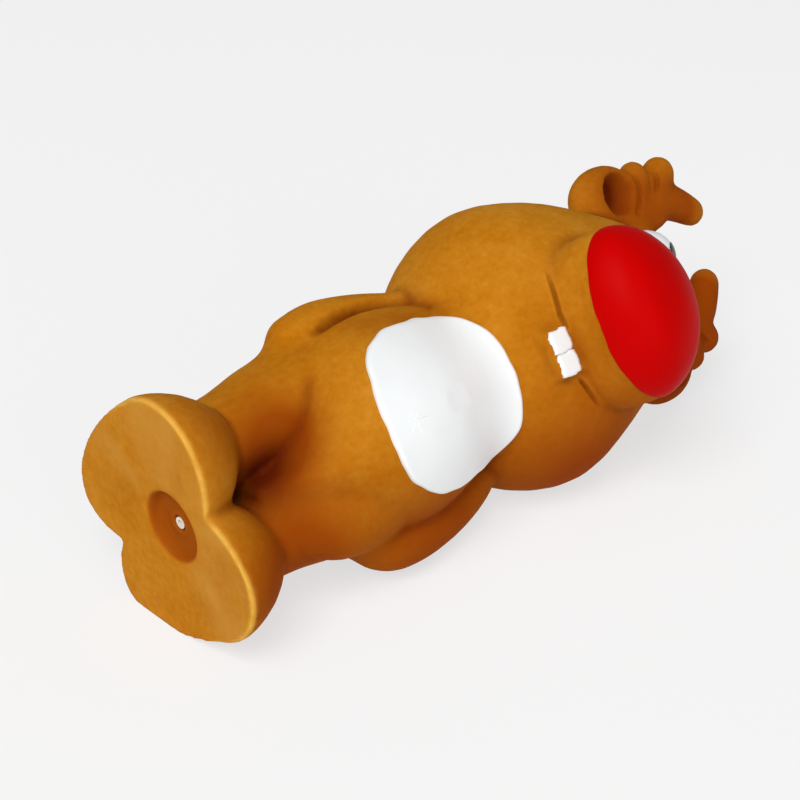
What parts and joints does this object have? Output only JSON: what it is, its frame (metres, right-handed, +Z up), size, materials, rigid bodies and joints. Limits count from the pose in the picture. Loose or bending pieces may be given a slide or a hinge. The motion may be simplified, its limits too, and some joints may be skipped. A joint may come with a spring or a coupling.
{
  "type": "latex squeaky dog toy",
  "caption": "Hollow latex squeaky dog toy in the shape of a pot-bellied reindeer, lying on its side, with a squeaker set into a dish in its joined flat soles.",
  "frame": {"origin": "centre of the bottom of the bounding box, on the surface that the toy lies on", "axes": "+X runs from the soles to the head, +Z is up, and the belly and nose face -Y and upward"},
  "size_m": [0.1928, 0.0842, 0.077],
  "materials": {
    "latex": "matt amber latex",
    "red_paint": "satin red paint on latex",
    "white_paint": "satin white paint on latex",
    "black_paint": "satin black paint on latex",
    "white_plastic": "moulded",
    "reed_film": "thin film"
  },
  "bodies": {
    "figure": {"feet": "latex", "right_leg": "latex", "left_leg": "latex", "torso": "latex", "head": "latex", "muzzle": "latex", "nose": "red_paint", "right_arm": "latex", "left_arm": "latex", "right_ear": "latex", "left_ear": "latex", "right_antler": "latex", "left_antler": "latex", "right_eye": "white_paint", "right_pupil": "black_paint", "left_eye": "white_paint", "left_pupil": "black_paint", "right_tooth": "white_paint", "left_tooth": "white_paint", "belly_patch": "white_paint", "squeaker_housing": "white_plastic", "squeaker_cap": "white_plastic", "reed_barrel": "white_plastic", "reed_clip": "white_plastic"},
    "reed": {"squeaker_reed": "reed_film"}
  },
  "joints": [
    {"name": "reed_flexure", "type": "hinge", "parent": "figure", "child": "reed", "pos_m": [-0.08778, 0.00677, 0.032], "axis": [0.0383, -0.52, -0.8533], "range_deg": [-3, 6], "stiffness_Nm_per_rad": 0.00002}
  ]
}
